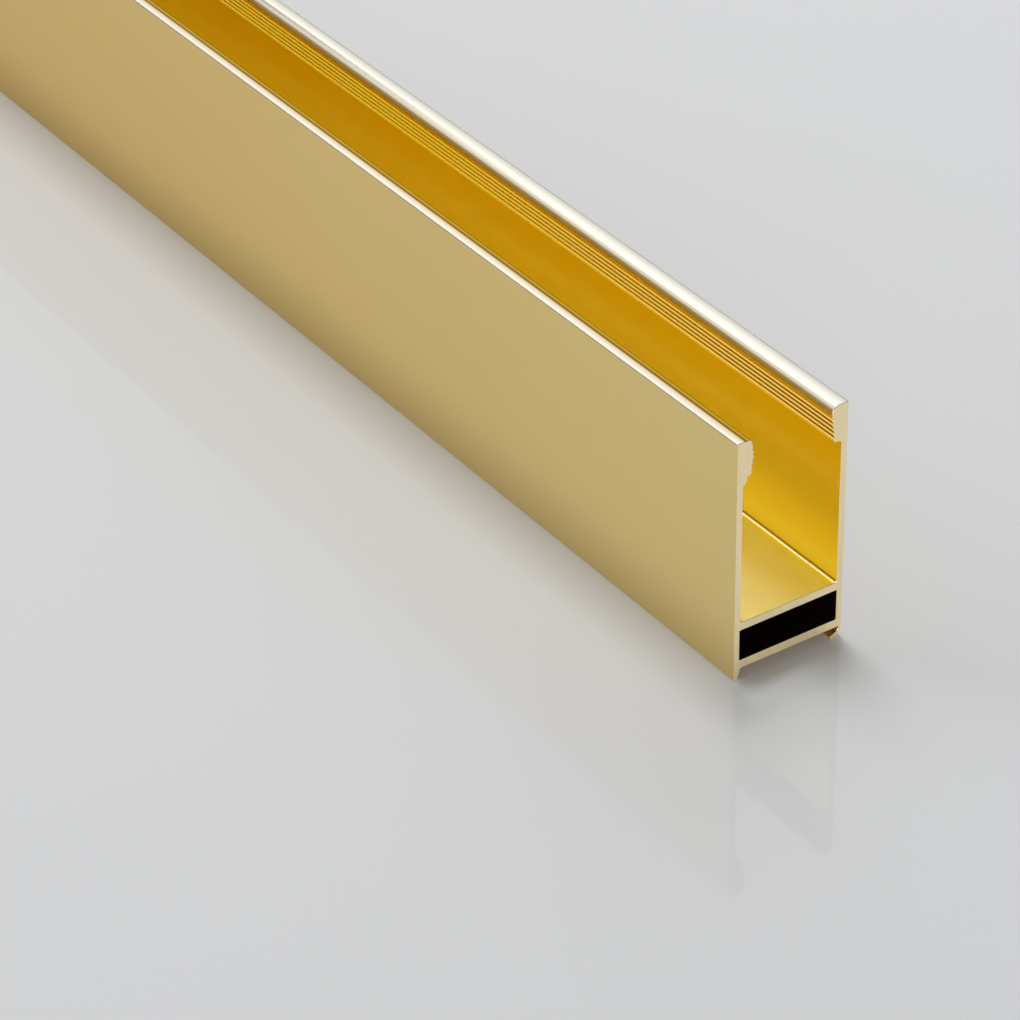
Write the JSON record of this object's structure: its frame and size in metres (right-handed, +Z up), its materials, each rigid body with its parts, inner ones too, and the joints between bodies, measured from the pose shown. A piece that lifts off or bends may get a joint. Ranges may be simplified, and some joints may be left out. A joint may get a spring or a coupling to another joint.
{
  "type": "aluminium glazing channel profile",
  "caption": "Gold-anodised aluminium extrusion: a deep open channel with serrated lips, over a hollow chamber, on small feet.",
  "frame": {"origin": "centre of the bounding box in plan, at the level of the feet that the profile stands on", "axes": "+X along the extrusion, +Y across towards the hooked foot, +Z up out of the open pocket"},
  "size_m": [1, 0.02, 0.0414],
  "materials": {
    "gold_anodised": "satin gold anodised"
  },
  "bodies": {
    "root": {"channel_profile": "gold_anodised"}
  },
  "joints": []
}
